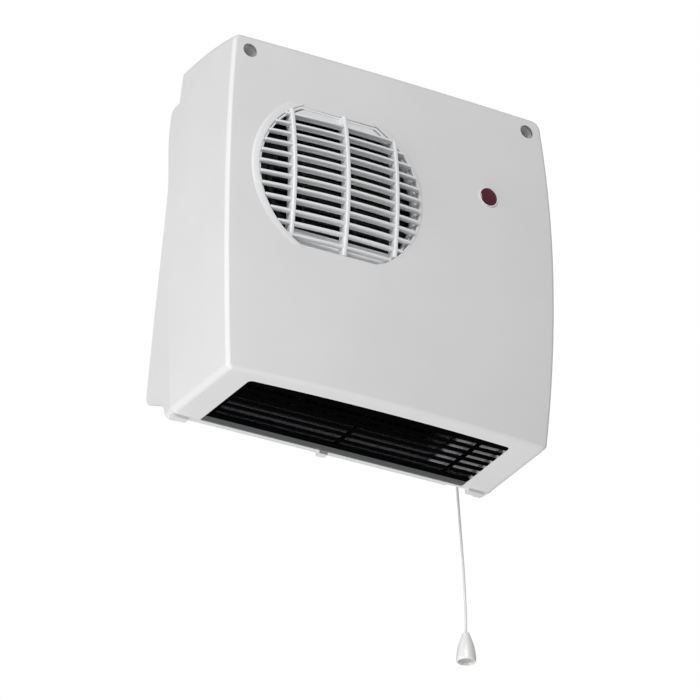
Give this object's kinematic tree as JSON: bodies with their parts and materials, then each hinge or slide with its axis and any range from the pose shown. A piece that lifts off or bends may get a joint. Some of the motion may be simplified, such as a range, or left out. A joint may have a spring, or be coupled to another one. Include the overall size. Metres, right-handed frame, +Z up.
{
  "type": "bathroom wall fan heater",
  "caption": "Wall-hung downflow fan heater with a barrel-sided white casing, round domed intake grille, black outlet grille underneath, neon indicator and a hanging pull cord.",
  "frame": {"origin": "centre of the four wall fixing holes, on the back plate's wall face", "axes": "+X to the right across the face as a viewer in front sees it, +Y into the wall, +Z up"},
  "size_m": [0.2404, 0.1251, 0.3639],
  "materials": {
    "casing": "fine satin moulded plastic, slightly glossy",
    "grille_white": "satin moulded plastic",
    "outlet_black": "black heat-resistant plastic, satin",
    "strip_grey": "dark grey gloss paint",
    "lens_red": "dark red moulded lens, glossy",
    "inner_black": "black heat-resistant plastic",
    "inner_plastic": "light grey heat-resistant plastic",
    "steel": "zinc-plated steel",
    "shaft_steel": "ground steel",
    "lamination": "blued electrical steel laminations",
    "copper_wire": "enamelled copper winding",
    "bobbin": "cream nylon",
    "brass": "plain brass",
    "mica": "laminated mica board",
    "ribbon": "oxidised resistance alloy",
    "cutout": "dark phenolic with a plated cap",
    "terminal": "cream moulded nylon",
    "grommet": "black rubber",
    "switch_white": "white urea moulding",
    "plunger": "red acetal",
    "neon_glass": "clear glass lamp",
    "cord_fabric": "fine braided cord",
    "pull_plastic": "glossy white moulded plastic"
  },
  "bodies": {
    "chassis": {"front_cover": "casing", "back_plate": "casing", "cover_screws": "steel", "intake_grille": "grille_white", "outlet_grille": "outlet_black", "outlet_deflector": "strip_grey", "neon_bezel": "casing", "neon_lens": "lens_red", "lamp_holder": "inner_plastic", "neon_lamp": "neon_glass", "inner_guard": "inner_plastic", "inlet_plate": "inner_black", "fan_housing": "inner_black", "housing_screws": "steel", "stator_core": "lamination", "coil_bobbin": "bobbin", "motor_coil": "copper_wire", "front_bracket": "steel", "rear_bracket": "steel", "front_bearing": "brass", "rear_bearing": "brass", "motor_screws": "steel", "element_frame": "mica", "element_ribbons": "ribbon", "thermal_cutout": "cutout", "terminal_block": "terminal", "terminal_screws": "brass", "cable_clamp": "terminal", "clamp_screws": "steel", "cable_grommet": "grommet", "switch_body": "switch_white", "switch_cap": "switch_white", "switch_spring": "shaft_steel", "cord_bush": "pull_plastic"},
    "fan": {"impeller": "inner_black", "motor_shaft": "shaft_steel", "rotor": "lamination"},
    "pull": {"switch_plunger": "plunger", "pull_cord": "cord_fabric", "cord_pull": "pull_plastic"},
    "contact": {"contact_rotor": "brass"}
  },
  "joints": [
    {"name": "fan_spin", "type": "hinge", "parent": "chassis", "child": "fan", "pos_m": [-0.039, -0.07, 0.0225], "axis": [0, 1, 0], "continuous": true},
    {"name": "cord_pull", "type": "slide", "parent": "chassis", "child": "pull", "axis": [0, 0, -1], "range_m": [0, 0.01], "stiffness_N_per_m": 300, "springref_m": -0.006, "deforming": ["switch_spring"]},
    {"name": "contact_turn", "type": "hinge", "parent": "chassis", "child": "contact", "pos_m": [0.0955, -0.0325, -0.068], "axis": [0, 0, 1], "continuous": true}
  ],
  "couplings": [
    {"joint": "contact_turn", "follows": "cord_pull", "rad_per_m": 157.08}
  ]
}
